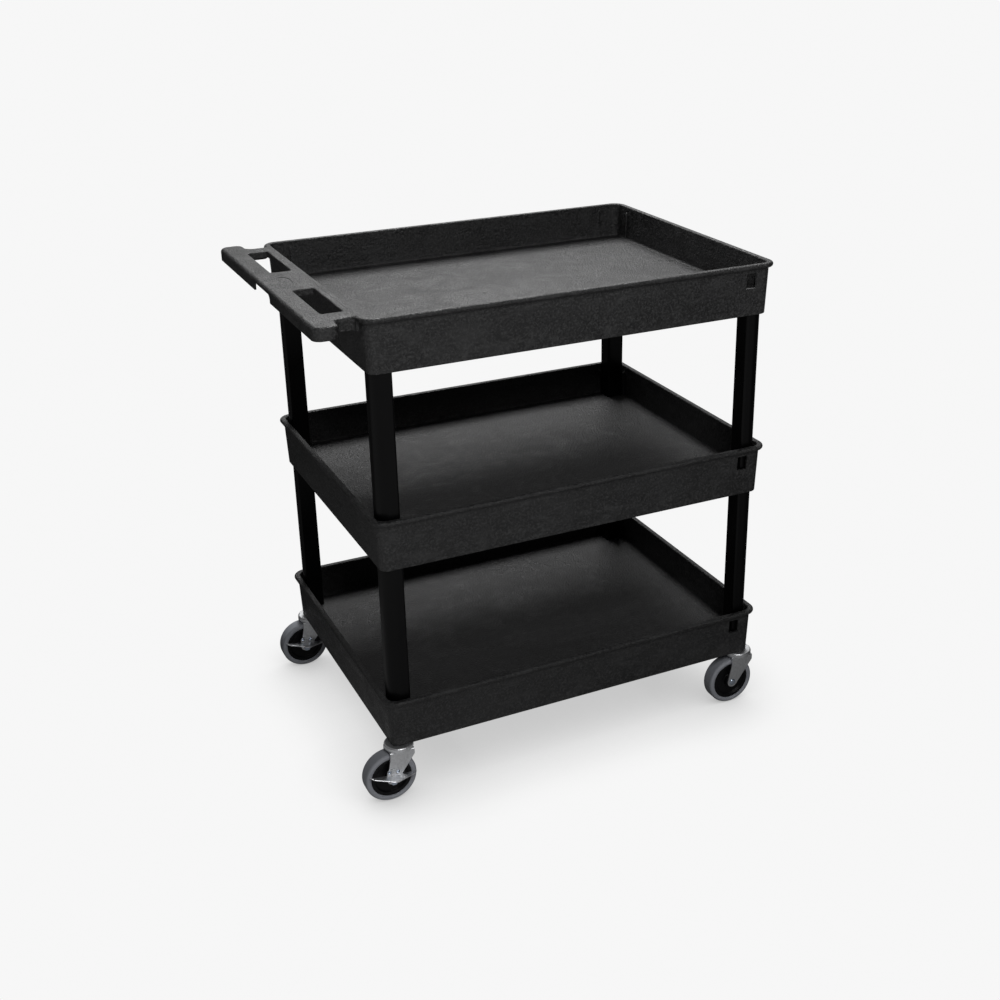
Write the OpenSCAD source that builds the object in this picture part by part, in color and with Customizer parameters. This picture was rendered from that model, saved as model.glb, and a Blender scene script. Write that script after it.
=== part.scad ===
// Rolling utility cart: three moulded tub shelves on eight hollow posts and four
// swivel casters, with a push handle moulded into the top shelf.
// X runs along the cart with the handle at -X, Y across it and Z up from the floor.

/* [Tub shelves] */
// Length of a shelf over its lip
shelf_l = 813; // [640:1:1000]
// Width of a shelf over its lip
shelf_w = 610; // [480:1:760]
// Height of a shelf from the bottom of its skirt to the top of its lip
tub_h = 99; // [88:1:120]
// Depth of the tray inside
tray_depth = 70; // [55:1:74]
// Distance from one shelf's lip to the next
shelf_pitch = 365; // [290:1:450]
// Thickness of the side walls
wall_t = 4; // [3:0.5:5]
// Thickness of the tray floor
floor_t = 4; // [3:0.5:5]
// How far the side walls lean in from top to bottom
wall_draft = 3.5; // [2:0.5:5]
// How far the rolled lip stands out from the wall
lip_w = 8; // [7:0.5:10]
// Height of the rolled lip
lip_h = 9; // [7:0.5:11]
// Radius of a shelf's corners at the lip
rim_r = 28; // [26:1:36]
// Thickness of the ribs under a tray and inside its corners
rib_t = 3; // [2:0.5:4]
// Depth of the ribs under a tray
rib_h = 10; // [6:1:20]

/* [Push handle] */
// How far the handle reaches beyond the lip
handle_reach = 82; // [74:1:110]
// How far each of the handle's ears stands out past the side of the shelf
ear_out = 4; // [0:1:12]
// How far the handle's neck stands in from the side of the shelf
neck_inset = 35; // [30:1:45]
// Thickness of the handle's top plate
plate_t = 6; // [4:0.5:8]
// Depth of the skirt along the handle's edge
handle_skirt = 24; // [16:1:32]
// Thickness of the handle's skirts
skirt_t = 4; // [3:0.5:5]
// Distance from the outer end of a hand slot to the side of the handle's neck
slot_end = 38; // [28:1:60]
// Width of each hand slot
slot_w = 38; // [30:1:42]
// Width of the web between the two hand slots
web_w = 136; // [110:1:150]
// Gap left in the middle of the outer skirt
skirt_gap = 104; // [60:1:130]

/* [Posts] */
// Width of a square post
leg_w = 38; // [30:1:46]
// Wall thickness of a post
leg_wall = 3; // [2:0.5:4]
// Clearance between a post and its socket
leg_clear = 0.3; // [0.2:0.1:0.6]

/* [Casters] */
// Diameter of a wheel over its tyre
wheel_d = 101.6; // [84:0.1:125]
// Width of the tyre
tyre_w = 30; // [24:1:36]
// Radial thickness of the tyre
tyre_t = 10.6; // [8:0.1:13]
// Distance from the swivel axis back to the axle
caster_trail = 22; // [16:1:30]
// Distance from the lip to the swivel axis, both ways
caster_inset = 28; // [26:1:34]
// Thickness of the stamped steel fork
fork_t = 2.6; // [2:0.1:3.2]
// Diameter of the swivel head
head_d = 56; // [54:1:64]
// Diameter of the stem in the shelf
stem_d = 11; // [10:0.5:12]
// Diameter of the axle bolt and of the kingpin
axle_d = 8; // [6:0.1:10]
// Running clearance on the radius of a pin
pin_clear = 0.08; // [0.04:0.01:0.1]

/* [Hidden] */
$fn = 64;
TAGS = ["front_left", "back_left", "front_right", "back_right"];
// Signs of each corner in X and Y, in the order of the tags
SIDE_X = [-1, -1, 1, 1];
SIDE_Y = [-1, 1, -1, 1];
CASTER_PARTS = ["stem_socket_", "stem_", "upper_race_", "ball_ring_", "fork_",
    "axle_bolt_", "axle_nut_", "hub_tube_", "wheel_core_", "tyre_"];

// Caster stack, from the floor up
wheel_r = wheel_d / 2;
crown_gap = 3.2;
crown_z = wheel_d + crown_gap;
ball_d = 4.8;
ball_count = 12;
ball_gap = 0.3;
race_t = 4.5;
race_z = crown_z + fork_t + ball_d + ball_gap;
caster_h = race_z + race_t;
head_r = head_d / 2;
race_lip_t = 1.7;
race_lip_h = 3.9;
cup_gap = 1.1;
cup_t = 1.8;
cup_h = 3.5;
cup_r = head_r - race_lip_t - cup_gap;
ball_side_gap = 1.5;
ball_ring_r = cup_r - cup_t - ball_d / 2 - ball_side_gap;
rivet_rim = 3;
rivet_r = axle_d / 2 + rivet_rim;
rivet_h = 1.4;
rivet_gap = 0.1;
race_edge = 1.5;
stem_top_gap = 1;

// Wheel, hub and fork, across the wheel
core_r = wheel_r - tyre_t;
tube_t = 2;
tube_r = axle_d / 2 + tube_t;
hub_t = 7;
hub_r = tube_r + hub_t;
core_rim_t = 7;
core_rim_inset = 2.5;
core_web_inset = 4;
core_slope = 2;
tyre_shoulder = 6;
tyre_bead_inset = 2;
fork_side_gap = 2.6;
fork_in = tyre_w / 2 + fork_side_gap;
fork_out = fork_in + fork_t;
fork_gap = 0.4;
shim = 0.1;
tube_half = fork_in - shim;
fork_top_inset = 4;
fork_top_half = head_r - fork_top_inset;
fork_shoulder = 9;
fork_toe_r = 11;
bolt_head_h = 2.6;
bolt_head_rim = 2.8;
bolt_head_r = axle_d / 2 + bolt_head_rim;
nut_h = 6;
hex_ratio = 0.94;
hex_r = axle_d * hex_ratio;
bolt_tip = 2.5;

// Brake pedal on the outer face of the two handle-end forks
pedal_t = 2;
pedal_gap = 0.3;
pedal_end_gap = 5;
pedal_half = wheel_r - pedal_end_gap;
pedal_nut_gap = 0.7;
pedal_rise = hex_r + pedal_nut_gap;
pedal_rest = 7;
pedal_nose = 23;
pedal_wing = 6;
pedal_hub_t = 4.5;
pedal_hub_r = axle_d / 2 + pedal_hub_t;
pedal_plate_half = 13;
pedal_plate_rise = 14;
pedal_plate_top = pedal_rise + pedal_plate_rise;
pedal_rivet_x = 8.5;
pedal_rivet_rise = 9;
pedal_rivet_r = 3.6;
pedal_rivet_h = 1.8;
pedal_in = fork_out + pedal_gap;
pedal_out = pedal_in + pedal_t;
brake_washer_t = 1.2;
brake_washer_rim = 3.5;
brake_washer_r = axle_d / 2 + brake_washer_rim;
brake_nut_y = pedal_out + pedal_gap + brake_washer_t + shim;

// Heights of the shelves' lips
bottom_z = caster_h + tub_h;
middle_z = bottom_z + shelf_pitch;
top_z = middle_z + shelf_pitch;

half_l = shelf_l / 2;
half_w = shelf_w / 2;
arc_x = half_l - rim_r;
arc_y = half_w - rim_r;
skirt_inset = lip_w + wall_draft + wall_t;
edge_r = 1.5;
floor_inset = lip_w + wall_t / 2 + wall_draft * tray_depth / tub_h;
floor_r = rim_r - floor_inset;
under_h = tub_h - tray_depth - floor_t;
stem_l = under_h - stem_top_gap;

// Two ribs run along the floor and six across it, clear of the post sockets
long_rib_y = shelf_w / 6;
rib_bays = 6.4;
cross_rib_pitch = shelf_l / rib_bays;

// Posts stand against the inside of the skirt
leg_inset = skirt_inset + leg_clear;
leg_round = 0.63;
leg_outer_r = leg_w * leg_round;
leg_inner_r = 5;
leg_l = shelf_pitch - floor_t - leg_clear;
leg_x = half_l - leg_inset - leg_w / 2;
leg_y = half_w - leg_inset - leg_w / 2;
leg_foot_z = leg_clear / 2;
guide_gap = 0.5;
guide_h = 2.5;

// Snap window in the front wall of each shelf, beside the front right post
window_l = 22;
window_h = 29;
window_top = 17;

// Casters
swivel_x = half_l - caster_inset;
swivel_y = half_w - caster_inset;
socket_t = 2.5;
boss_t = 5;
boss_r = stem_d / 2 + socket_t + boss_t;

// The origin is under the middle of the whole cart, so the tubs stand off it by what
// the handle, the front wheels and the front brake pedal reach beyond them
front_reach = max(half_l, swivel_x + max(head_r, wheel_r - caster_trail));
ear_half = half_w + ear_out;
side_reach = max(half_w, ear_half);
pedal_reach = max(side_reach, swivel_y + pedal_in + pedal_nose);
tub_x = (half_l + handle_reach - front_reach) / 2;
tub_y = (pedal_reach - side_reach) / 2;

// Handle plan, measured from the lip of the top shelf
ear_l = 46;
ear_r = 16;
neck_half = half_w - neck_inset;
neck_r = 14;
root_r = 7;
slot_l = neck_half - slot_end - web_w / 2;
slot_r = 5;
slot_gap = 7;
collar_h = 12;
collar_t = 3;
plate_in = lip_w + wall_t / 2;

function arc_points(cx, cy, r, from, to, steps) =
    [for (i = [0 : steps]) let (a = from + (to - from) * i / steps)
        [cx + r * cos(a), cy + r * sin(a)]];

// Angle at which a line from point p touches a circle of radius r about c
function touch_angle(p, c, r, side) =
    atan2(p[1] - c[1], p[0] - c[0]) + side * acos(r / norm(p - c));

module rounded_rect(l, w, r) {
    square([l - 2 * r, w], center = true);
    square([l, w - 2 * r], center = true);
    for (sx = [-1, 1], sy = [-1, 1])
        translate([sx * (l / 2 - r), sy * (w / 2 - r)]) circle(r);
}

// Section of the side wall: rolled lip, leaning wall and skirt.
// X is measured outward from the centre of the corner arc, Y down from the lip.
module wall_section() {
    lip_r = lip_h / 2;
    wall_out = rim_r - lip_w;
    wall_in = wall_out - wall_t;
    polygon(concat(
        arc_points(wall_in + edge_r, -edge_r, edge_r, 180, 90, 3),
        arc_points(rim_r - lip_r, -lip_r, lip_r, 90, -90, 8),
        [[wall_out, -lip_h],
         [wall_out - wall_draft, -tub_h],
         [wall_in - wall_draft, -tub_h]]));
}

// One long side, one short side and two corners, turned twice to close the ring
module wall_ring() {
    for (turn = [0, 180]) rotate([0, 0, turn]) {
        translate([-arc_x, arc_y, 0]) rotate([90, 0, 90])
            linear_extrude(2 * arc_x) wall_section();
        rotate([0, 0, -90]) translate([-arc_y, arc_x, 0]) rotate([90, 0, 90])
            linear_extrude(2 * arc_y) wall_section();
        translate([arc_x, arc_y, 0]) rotate_extrude(angle = 90) wall_section();
        translate([-arc_x, arc_y, 0]) rotate([0, 0, 90])
            rotate_extrude(angle = 90) wall_section();
    }
}

module tray_floor() {
    translate([0, 0, -tray_depth - floor_t]) linear_extrude(floor_t)
        rounded_rect(shelf_l - 2 * floor_inset, shelf_w - 2 * floor_inset, floor_r);
}

// Stiffening ribs under the floor
module under_ribs() {
    rib_z = -tray_depth - floor_t - rib_h;
    rib_l = shelf_l - 2 * skirt_inset + wall_t;
    rib_w = shelf_w - 2 * skirt_inset + wall_t;
    for (f = [-1, 1]) translate([-rib_l / 2, f * long_rib_y - rib_t / 2, rib_z])
        cube([rib_l, rib_t, rib_h + 1]);
    for (f = [-2.5 : 2.5]) translate([f * cross_rib_pitch - rib_t / 2, -rib_w / 2, rib_z])
        cube([rib_t, rib_w, rib_h + 1]);
}

// Upright guides on the two walls of a corner, either side of the post
module post_guides() {
    guide_out = lip_w + wall_t / 2;
    guide_in = floor_inset + wall_t / 2 + guide_h;
    guide_l = guide_in - guide_out;
    guide_z = -tray_depth - 1;
    guide_top = tray_depth + 1 - lip_h;
    along_x = half_l - leg_inset - leg_w - guide_gap - rib_t;
    along_y = half_w - leg_inset - leg_w - guide_gap - rib_t;
    translate([along_x, half_w - guide_in, guide_z]) cube([rib_t, guide_l, guide_top]);
    translate([half_l - guide_in, along_y, guide_z]) cube([guide_l, rib_t, guide_top]);
}

// Two walls under the floor that close a socket for the top of a post
module post_socket() {
    inner_x = half_l - leg_inset - leg_w - leg_clear;
    inner_y = half_w - leg_inset - leg_w - leg_clear;
    reach = leg_w + 2 * leg_clear + rib_t + wall_t / 2;
    socket_z = -tub_h;
    translate([inner_x - rib_t, inner_y - rib_t, socket_z]) cube([rib_t, reach, under_h + 1]);
    translate([inner_x - rib_t, inner_y - rib_t, socket_z]) cube([reach, rib_t, under_h + 1]);
}

module snap_window() {
    window_x = half_l - leg_inset - leg_w;
    translate([window_x - window_l / 2, half_w - skirt_inset - guide_h, -window_top - window_h])
        cube([window_l, skirt_inset + guide_h, window_h]);
}

module tub(sockets) {
    difference() {
        union() {
            wall_ring();
            tray_floor();
            under_ribs();
            for (i = [0 : 3]) scale([SIDE_X[i], SIDE_Y[i], 1]) {
                post_guides();
                if (sockets) post_socket();
            }
        }
        scale([1, -1, 1]) snap_window();
        if (sockets) for (i = [0 : 3])
            translate([SIDE_X[i] * leg_x, SIDE_Y[i] * leg_y, -tub_h])
                linear_extrude(under_h) square(leg_w + 2 * leg_clear, center = true);
    }
}

// Handle outline, grown inward by inset; X is measured from the lip, negative outward
module handle_plan(inset) {
    out_x = -handle_reach + inset;
    ear_x = -handle_reach + ear_l - inset;
    neck = neck_half - inset;
    fillet = neck_r + inset;
    translate([(out_x + ear_x) / 2, 0])
        rounded_rect(ear_x - out_x, 2 * (ear_half - inset), ear_r - inset);
    translate([out_x + ear_r, -neck]) square([plate_in - out_x - ear_r, 2 * neck]);
    for (s = [-1, 1]) scale([1, s]) {
        translate([ear_x, neck]) difference() {
            translate([-1, -1]) square(fillet + 1);
            translate([fillet, fillet]) circle(fillet);
        }
        translate([0, neck]) difference() {
            translate([-root_r, -1]) square([root_r + plate_in, root_r + 1]);
            translate([-root_r, root_r]) circle(root_r);
        }
    }
}

module hand_slots(grow) {
    for (s = [-1, 1]) translate([-slot_gap - slot_w / 2, s * (web_w + slot_l) / 2])
        rounded_rect(slot_w + 2 * grow, slot_l + 2 * grow, slot_r + grow);
}

module handle() {
    difference() {
        union() {
            translate([0, 0, -plate_t]) linear_extrude(plate_t) handle_plan(0);
            translate([0, 0, -handle_skirt]) linear_extrude(handle_skirt - 1) difference() {
                handle_plan(0);
                handle_plan(skirt_t);
                translate([-handle_reach - 1, -skirt_gap / 2])
                    square([skirt_t + 2, skirt_gap]);
            }
            translate([0, 0, -collar_h]) linear_extrude(collar_h - 1) hand_slots(collar_t);
        }
        translate([0, 0, -handle_skirt - 1]) linear_extrude(handle_skirt + 2) hand_slots(0);
        translate([0, 0, -handle_skirt - 1]) linear_extrude(handle_skirt)
            translate([plate_in - skirt_t / 2, -half_w]) square([skirt_t, shelf_w]);
    }
}

module top_shelf() {
    color([0.13, 0.13, 0.13]) translate([tub_x, tub_y, top_z]) union() {
        tub(true);
        translate([-half_l, 0, 0]) handle();
    }
}

module middle_shelf() {
    color([0.11, 0.11, 0.11]) translate([tub_x, tub_y, middle_z]) tub(true);
}

// The bottom shelf has round bosses for the caster stems in place of post sockets
module bottom_shelf() {
    color([0.11, 0.11, 0.11]) translate([tub_x, tub_y, bottom_z]) difference() {
        union() {
            tub(false);
            for (i = [0 : 3]) translate([SIDE_X[i] * swivel_x, SIDE_Y[i] * swivel_y, -tub_h])
                cylinder(h = under_h + 1, r = boss_r);
        }
        for (i = [0 : 3]) translate([SIDE_X[i] * swivel_x, SIDE_Y[i] * swivel_y, -tub_h - 1])
            cylinder(h = under_h + 1, r = stem_d / 2 + pin_clear + socket_t);
    }
}

// Square with one larger corner radius, at +X +Y
module post_plan(inset) {
    half = leg_w / 2 - inset;
    big = leg_outer_r - inset;
    small = leg_inner_r - inset;
    difference() {
        square(2 * half, center = true);
        translate([half - big, half - big]) difference() {
            square(big + 1);
            circle(big);
        }
        for (s = [[-1, 1], [-1, -1], [1, -1]]) scale([s[0], s[1]])
            translate([half - small, half - small]) difference() {
                square(small + 1);
                circle(small);
            }
    }
}

module post(shelf_z) {
    color([0.05, 0.05, 0.05]) translate([leg_x, leg_y, shelf_z - tray_depth + leg_foot_z])
        linear_extrude(leg_l) difference() {
            post_plan(0);
            post_plan(leg_wall);
        }
}

// Plastic sleeve in the shelf's boss that grips the stem
module stem_socket() {
    color([0.3, 0.3, 0.3]) translate([0, 0, caster_h]) difference() {
        cylinder(h = under_h, r = stem_d / 2 + socket_t + pin_clear / 2);
        translate([0, 0, -1]) cylinder(h = under_h, r = stem_d / 2 + pin_clear);
    }
}

// Stem, kingpin and rivet head in one turned piece
module stem() {
    color([0.75, 0.76, 0.78]) {
        translate([0, 0, caster_h]) cylinder(h = stem_l, r = stem_d / 2);
        translate([0, 0, crown_z - rivet_gap - rivet_h])
            cylinder(h = caster_h - crown_z + rivet_gap + rivet_h, r = axle_d / 2);
        translate([0, 0, crown_z - rivet_gap - rivet_h]) cylinder(h = rivet_h, r = rivet_r);
    }
}

// Stamped cap over the balls
module upper_race() {
    color([0.78, 0.79, 0.81]) rotate_extrude() {
        bore_r = axle_d / 2 + pin_clear / 2;
        polygon([[bore_r, race_z], [head_r - race_lip_t, race_z],
            [head_r - race_lip_t, race_z - race_lip_h], [head_r, race_z - race_lip_h],
            [head_r, caster_h - race_edge], [head_r - race_edge, caster_h], [bore_r, caster_h]]);
    }
}

module ball_ring() {
    color([0.7, 0.7, 0.72]) for (i = [0 : ball_count - 1]) rotate([0, 0, i * 360 / ball_count])
        translate([ball_ring_r, 0, crown_z + fork_t + ball_d / 2]) sphere(d = ball_d, $fn = 24);
}

// Side plate of the fork, in its own plane: X forward, Y up
module fork_plate() {
    hub = [-caster_trail, wheel_r];
    front = [fork_top_half, crown_z - fork_shoulder];
    rear = [-fork_top_half, crown_z - fork_shoulder];
    polygon(concat(
        [[fork_top_half, crown_z + fork_t], front],
        arc_points(hub[0], hub[1], fork_toe_r, touch_angle(front, hub, fork_toe_r, -1),
            touch_angle(rear, hub, fork_toe_r, 1) - 360, 14),
        [rear, [-fork_top_half, crown_z + fork_t]]));
}

module fork() {
    color([0.82, 0.83, 0.85]) difference() {
        union() {
            translate([0, 0, crown_z]) cylinder(h = fork_t, r = cup_r);
            translate([-fork_top_half, -fork_out, crown_z])
                cube([2 * fork_top_half, 2 * fork_out, fork_t]);
            translate([0, 0, crown_z]) difference() {
                cylinder(h = fork_t + cup_h, r = cup_r);
                cylinder(h = fork_t + cup_h + 1, r = cup_r - cup_t);
            }
            for (y = [-fork_in, fork_out]) translate([0, y, 0]) rotate([90, 0, 0])
                linear_extrude(fork_t) fork_plate();
        }
        translate([0, 0, crown_z - 1]) cylinder(h = fork_t + 2, r = axle_d / 2 + pin_clear);
        translate([-caster_trail, fork_out + 1, wheel_r]) rotate([90, 0, 0])
            cylinder(h = 2 * fork_out + 2, r = axle_d / 2 + pin_clear);
    }
}

// Places its children on the axle, with their Z axis pointing out to -Y
module on_axle() {
    translate([-caster_trail, 0, wheel_r]) rotate([90, 0, 0]) children();
}

// The nut stands over the pedal on a braked caster, and on the other side of a plain one
module nut_side(braked) {
    on_axle() rotate([braked ? 0 : 180, 0, 0]) children();
}

module axle_bolt(braked) {
    nut_y = braked ? brake_nut_y : fork_out + shim;
    color([0.76, 0.78, 0.82]) nut_side(braked) {
        translate([0, 0, -fork_out - shim - bolt_head_h]) cylinder(h = bolt_head_h, r = bolt_head_r);
        translate([0, 0, -fork_out - shim - 1])
            cylinder(h = fork_out + nut_y + nut_h + bolt_tip + shim + 1, r = axle_d / 2);
    }
}

module axle_nut(braked) {
    nut_y = braked ? brake_nut_y : fork_out + shim;
    color([0.8, 0.84, 0.9]) nut_side(braked) translate([0, 0, nut_y]) difference() {
        cylinder(h = nut_h, r = hex_r, $fn = 6);
        translate([0, 0, -1]) cylinder(h = nut_h + 2, r = axle_d / 2 + pin_clear / 2);
    }
}

module hub_tube() {
    color([0.7, 0.71, 0.73]) on_axle() difference() {
        cylinder(h = 2 * tube_half, r = tube_r, center = true);
        cylinder(h = 2 * tube_half + 2, r = axle_d / 2 + pin_clear / 2, center = true);
    }
}

module wheel_core() {
    hub_half = fork_in - fork_gap;
    rim_half = tyre_w / 2 - core_rim_inset;
    web_half = rim_half - core_web_inset;
    rim_in = core_r - core_rim_t;
    color([0.08, 0.08, 0.08]) on_axle() rotate_extrude() polygon([
        [tube_r + pin_clear, -hub_half], [hub_r, -hub_half], [hub_r + core_slope, -web_half],
        [rim_in - core_slope, -web_half], [rim_in, -rim_half], [core_r, -rim_half],
        [core_r, rim_half], [rim_in, rim_half], [rim_in - core_slope, web_half],
        [hub_r + core_slope, web_half], [hub_r, hub_half], [tube_r + pin_clear, hub_half]]);
}

module tyre() {
    half = tyre_w / 2;
    side_half = half - tyre_shoulder;
    side_r = wheel_r - tyre_shoulder;
    bead_half = half - tyre_bead_inset;
    color([0.38, 0.39, 0.42]) on_axle() rotate_extrude() polygon(concat(
        [[core_r + shim / 2, -bead_half]],
        arc_points(side_r, -side_half, tyre_shoulder, -90, 0, 5),
        arc_points(side_r, side_half, tyre_shoulder, 0, 90, 5),
        [[core_r + shim / 2, bead_half]]));
}

// Foot pedal: a plate that turns on the axle bolt, a winged tread that stands out from
// it just over the nut, and the two rivets that hold the tread to the plate
module brake_pedal() {
    color([0.8, 0.81, 0.83]) on_axle() rotate([0, 0, -pedal_rest]) difference() {
        union() {
            translate([0, 0, pedal_in]) linear_extrude(pedal_t) {
                circle(pedal_hub_r);
                translate([-pedal_plate_half, 0]) square([2 * pedal_plate_half, pedal_plate_top]);
            }
            translate([0, pedal_rise + pedal_t, 0]) rotate([90, 0, 0])
                linear_extrude(pedal_t) polygon([
                    [-pedal_half, pedal_in], [-pedal_half, pedal_in + pedal_wing],
                    [-pedal_wing, pedal_in + pedal_nose], [pedal_wing, pedal_in + pedal_nose],
                    [pedal_half, pedal_in + pedal_wing], [pedal_half, pedal_in]]);
            for (s = [-1, 1]) translate([s * pedal_rivet_x, pedal_rise + pedal_rivet_rise, pedal_in + 1])
                cylinder(h = pedal_t + pedal_rivet_h - 1, r = pedal_rivet_r);
        }
        translate([0, 0, pedal_in - 1]) cylinder(h = pedal_t + 2, r = axle_d / 2 + pin_clear);
    }
}

module brake_washer() {
    color([0.72, 0.73, 0.75]) on_axle() translate([0, 0, pedal_out + pedal_gap]) difference() {
        cylinder(h = brake_washer_t, r = brake_washer_r);
        translate([0, 0, -1]) cylinder(h = brake_washer_t + 2, r = axle_d / 2 + pin_clear / 2);
    }
}

module at_post(i) {
    translate([tub_x, tub_y, 0]) scale([SIDE_X[i], SIDE_Y[i], 1]) children();
}

module at_caster(i) {
    translate([tub_x + SIDE_X[i] * swivel_x, tub_y + SIDE_Y[i] * swivel_y, 0]) children();
}

top_shelf();
middle_shelf();
bottom_shelf();
for (i = [0 : 3]) {
    tag = TAGS[i];
    braked = i < 2;
    at_post(i) post(middle_z);
    at_post(i) post(bottom_z);
    at_caster(i) stem_socket();
    at_caster(i) stem();
    at_caster(i) upper_race();
    at_caster(i) ball_ring();
    at_caster(i) fork();
    at_caster(i) axle_bolt(braked);
    at_caster(i) axle_nut(braked);
    at_caster(i) hub_tube();
    at_caster(i) wheel_core();
    at_caster(i) tyre();
}
for (i = [0, 1]) {
    tag = TAGS[i];
    at_caster(i) brake_pedal();
    at_caster(i) brake_washer();
}
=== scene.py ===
import math

import bmesh
import bpy
from mathutils import Matrix, Vector


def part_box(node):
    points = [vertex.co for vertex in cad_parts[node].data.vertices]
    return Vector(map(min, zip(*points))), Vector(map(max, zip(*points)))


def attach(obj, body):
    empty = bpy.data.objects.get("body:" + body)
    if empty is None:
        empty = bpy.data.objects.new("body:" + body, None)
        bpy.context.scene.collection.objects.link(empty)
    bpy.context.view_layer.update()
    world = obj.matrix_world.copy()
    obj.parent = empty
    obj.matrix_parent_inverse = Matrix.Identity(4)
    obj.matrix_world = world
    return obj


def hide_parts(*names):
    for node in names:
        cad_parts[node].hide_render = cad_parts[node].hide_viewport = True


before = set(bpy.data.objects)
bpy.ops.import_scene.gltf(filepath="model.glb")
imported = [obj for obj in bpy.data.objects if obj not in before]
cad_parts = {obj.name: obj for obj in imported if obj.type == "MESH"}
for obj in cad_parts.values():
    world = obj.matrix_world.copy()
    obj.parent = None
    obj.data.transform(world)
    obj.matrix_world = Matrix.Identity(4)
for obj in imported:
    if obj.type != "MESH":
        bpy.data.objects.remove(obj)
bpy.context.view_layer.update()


# ---------------------------------------------------------------- Tub shelves
# Three deep trays of black structural foam, each moulded in one piece with a
# rolled lip, leaning walls, a skirt and a grid of ribs under its floor. The
# upper two sit over the posts in square sockets, the lowest carries the casters.

tub_low, tub_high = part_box("middle_shelf")
tub_centre = (tub_low + tub_high) / 2
half_l = (tub_high.x - tub_low.x) / 2
half_w = (tub_high.y - tub_low.y) / 2
tub_h = tub_high.z - tub_low.z
CORNERS = {"front_left": (-1, -1), "back_left": (-1, 1), "front_right": (1, -1), "back_right": (1, 1)}

TRAY_DEPTH = 0.070
FLOOR_T = 0.004
WALL_T = 0.004
WALL_DRAFT = 0.0035
LIP_W = 0.008
LIP_H = 0.009
RIM_R = 0.028
RIB_T = 0.003
RIB_H = 0.010
RIB_TAPER = 0.36
LONG_RIB_Y = half_w / 3
CROSS_RIB_PITCH = half_l / 3.2
POST_GAP = 0.0003
GUIDE_GAP = 0.0005
GUIDE_PROUD = 0.0025
GUIDE_SLOPE_TOP = -0.0095
GUIDE_SLOPE_LOW = -0.016
GUIDE_LEAN = 0.0012
SOCKET_SHORT = 0.0004
BOSS_SHORT = 0.0002
# How far a joined solid sinks into the next one, or a cutter runs past the face it opens.
BITE = 0.001
WINDOW_L = 0.022
WINDOW_H = 0.029
WINDOW_TOP = 0.017
WINDOW_DEPTH = 0.018
BOSS_R = 0.013
BOSS_BORE_R = 0.00808
WALL_IN = LIP_W + WALL_T
UNDER = TRAY_DEPTH + FLOOR_T
FOOT_IN = WALL_IN + WALL_DRAFT


def arc(centre, radius, start, end, steps):
    """Points along an arc, its angles in degrees."""
    turns = [math.radians(start + (end - start) * i / steps) for i in range(steps + 1)]
    return [(centre[0] + radius * math.cos(a), centre[1] + radius * math.sin(a)) for a in turns]


def rounded_loop(centre, half, radii, z, steps=14):
    """A level loop with four rounded corners, taken anticlockwise from +X +Y."""
    loop = []
    for turn, (sx, sy) in enumerate(((1, 1), (-1, 1), (-1, -1), (1, -1))):
        r = radii[turn]
        hub = (centre[0] + sx * (half[0] - r), centre[1] + sy * (half[1] - r))
        loop += [Vector((x, y, z)) for x, y in arc(hub, r, 90 * turn, 90 * turn + 90, steps)]
    return loop


def tub_loop(inset, z):
    """One level loop of the tub, set in from the outline of its lip."""
    return rounded_loop((0, 0), (half_l - inset, half_w - inset), [RIM_R - inset] * 4, z)


def skin(name, loops, closed=False):
    """A solid whose skin runs from loop to loop, with its two ends capped unless it closes on itself."""
    bm = bmesh.new()
    rows = [[bm.verts.new(p) for p in loop] for loop in loops]
    pairs = list(zip(rows, rows[1:]))
    if closed:
        pairs.append((rows[-1], rows[0]))
    for a, b in pairs:
        for i in range(len(a)):
            j = (i + 1) % len(a)
            bm.faces.new((a[i], a[j], b[j], b[i]))
    if not closed:
        bm.faces.new(rows[0][::-1])
        bm.faces.new(rows[-1])
    bmesh.ops.recalc_face_normals(bm, faces=bm.faces)
    mesh = bpy.data.meshes.new(name)
    bm.to_mesh(mesh)
    bm.free()
    return mesh


def place(name, mesh, at=Matrix()):
    piece = bpy.data.objects.new(name, mesh)
    piece.matrix_world = at
    bpy.context.scene.collection.objects.link(piece)
    return piece


def mould(body, tools, operation="UNION"):
    """Joins the tool solids to the body, or cuts them out of it, and clears them away."""
    for tool in tools:
        step = body.modifiers.new(operation.lower(), "BOOLEAN")
        step.operation = operation
        step.solver = "MANIFOLD"
        step.object = tool
    bpy.context.view_layer.update()
    made = body.evaluated_get(bpy.context.evaluated_depsgraph_get())
    mesh = bpy.data.meshes.new_from_object(made)
    body.modifiers.clear()
    body.data = mesh
    for tool in tools:
        bpy.data.objects.remove(tool)
    return body


def finish_mesh(piece, material, angle=34):
    """Smooth shading broken at the sharp edges, and the piece's material."""
    mesh = piece.data
    mesh.polygons.foreach_set("use_smooth", [True] * len(mesh.polygons))
    mesh.set_sharp_from_angle(angle=math.radians(angle))
    mesh.materials.clear()
    mesh.materials.append(material)
    weigh = piece.modifiers.new("flat faces lead", "WEIGHTED_NORMAL")
    weigh.keep_sharp = True
    return piece


def block(*levels):
    """A square-cornered solid through levels of (z, x low, x high, y low, y high)."""
    loops = [[Vector((x1, y1, z)), Vector((x0, y1, z)), Vector((x0, y0, z)), Vector((x1, y0, z))]
             for z, x0, x1, y0, y1 in levels]
    return place("block", skin("block", loops))


def to_corner(piece, sx, sy):
    """Mirrors a tool made for the +X +Y corner into another one."""
    piece.data.transform(Matrix.Diagonal((sx, sy, 1, 1)))
    if sx * sy < 0:
        piece.data.flip_normals()
    return piece


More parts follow.
